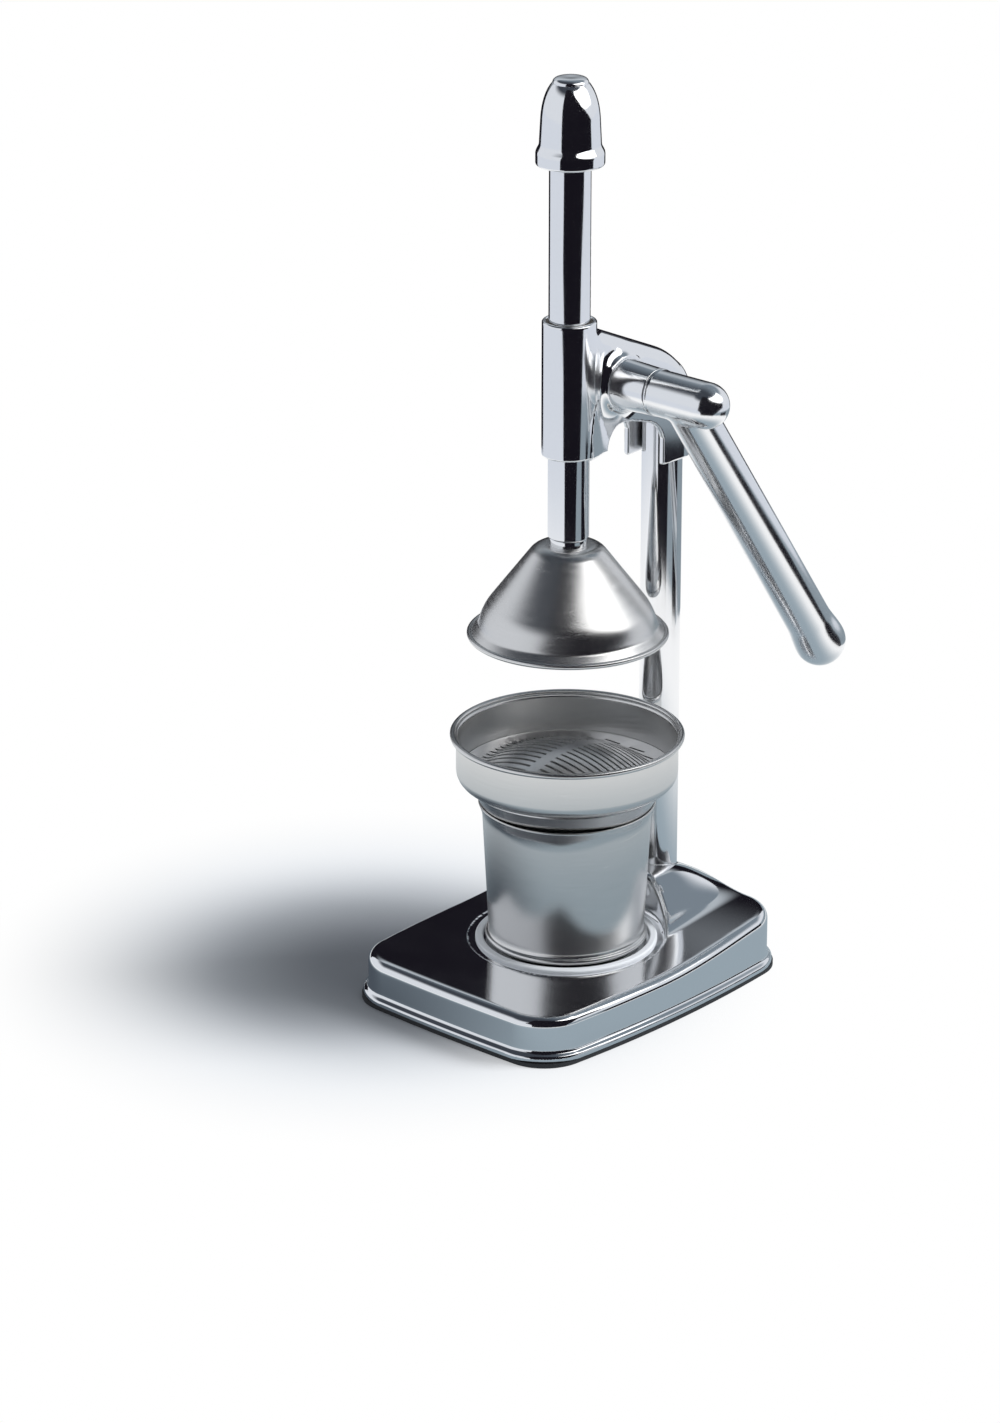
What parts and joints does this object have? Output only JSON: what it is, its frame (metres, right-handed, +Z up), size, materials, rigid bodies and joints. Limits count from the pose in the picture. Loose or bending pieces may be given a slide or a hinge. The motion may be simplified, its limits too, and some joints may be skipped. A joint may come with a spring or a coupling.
{
  "type": "lever citrus juice press",
  "caption": "Chromed hand press for citrus: a side lever drives a round plunger and its cone down into a strainer bowl over a brushed steel juice cup on a heavy base.",
  "frame": {"origin": "on the plunger axis, at the level of the surface the press stands on", "axes": "+Z up along the plunger; +Y back to the post; +X to the lever"},
  "size_m": [0.1413, 0.223, 0.4372],
  "materials": {
    "polished_chrome": "mirror-polished chrome plate",
    "brushed_sheet": "round-brushed stainless sheet, satin",
    "polished_sheet": "bright polished stainless sheet",
    "bright_steel": "turned bright steel",
    "zinc_steel": "zinc-plated steel, dull",
    "pale_metal": "pale satin metal",
    "black_steel": "black-oxide steel",
    "bush_bronze": "sintered bronze",
    "dark_pad": "matt black rubber"
  },
  "bodies": {
    "frame": {"base_shell": "polished_chrome", "base_pad": "dark_pad", "base_plate": "zinc_steel", "base_plate_screws": "zinc_steel", "cup_seat_ring": "pale_metal", "post_tube": "polished_chrome", "post_foot_plug": "zinc_steel", "post_screw": "zinc_steel", "head_casting": "polished_chrome", "head_grub_screws": "black_steel", "lower_guide_bush": "bush_bronze", "upper_guide_bush": "bush_bronze", "pivot_bush_near": "bush_bronze", "pivot_bush_far": "bush_bronze", "pivot_collar": "polished_chrome"},
    "lever_group": {"lever": "polished_chrome", "hub_grub_screw": "black_steel", "pivot_shaft": "bright_steel", "pinion": "bright_steel", "pinion_key": "bright_steel", "shaft_clip": "black_steel"},
    "plunger": {"plunger_rod": "polished_chrome", "plunger_cap": "polished_chrome", "cap_button": "polished_chrome", "cone_neck": "polished_chrome", "press_cone": "brushed_sheet", "cone_washer": "bright_steel", "cone_screw": "bright_steel"},
    "cup": {"juice_cup": "brushed_sheet", "strainer_bowl": "brushed_sheet", "sieve_disc": "polished_sheet"}
  },
  "joints": [
    {"name": "lever_turn", "type": "hinge", "parent": "frame", "child": "lever_group", "pos_m": [0, 0.02315, 0.29305], "axis": [1, 0, 0], "range_deg": [0, 218]},
    {"name": "plunger_slide", "type": "slide", "parent": "frame", "child": "plunger", "axis": [0, 0, 1], "range_m": [-0.06, 0]},
    {"name": "cup_turn", "type": "hinge", "parent": "frame", "child": "cup", "pos_m": [0, 0, 0.023], "axis": [0, 0, 1], "continuous": true}
  ],
  "couplings": [
    {"joint": "plunger_slide", "follows": "lever_turn", "m_per_rad": -0.01575}
  ]
}
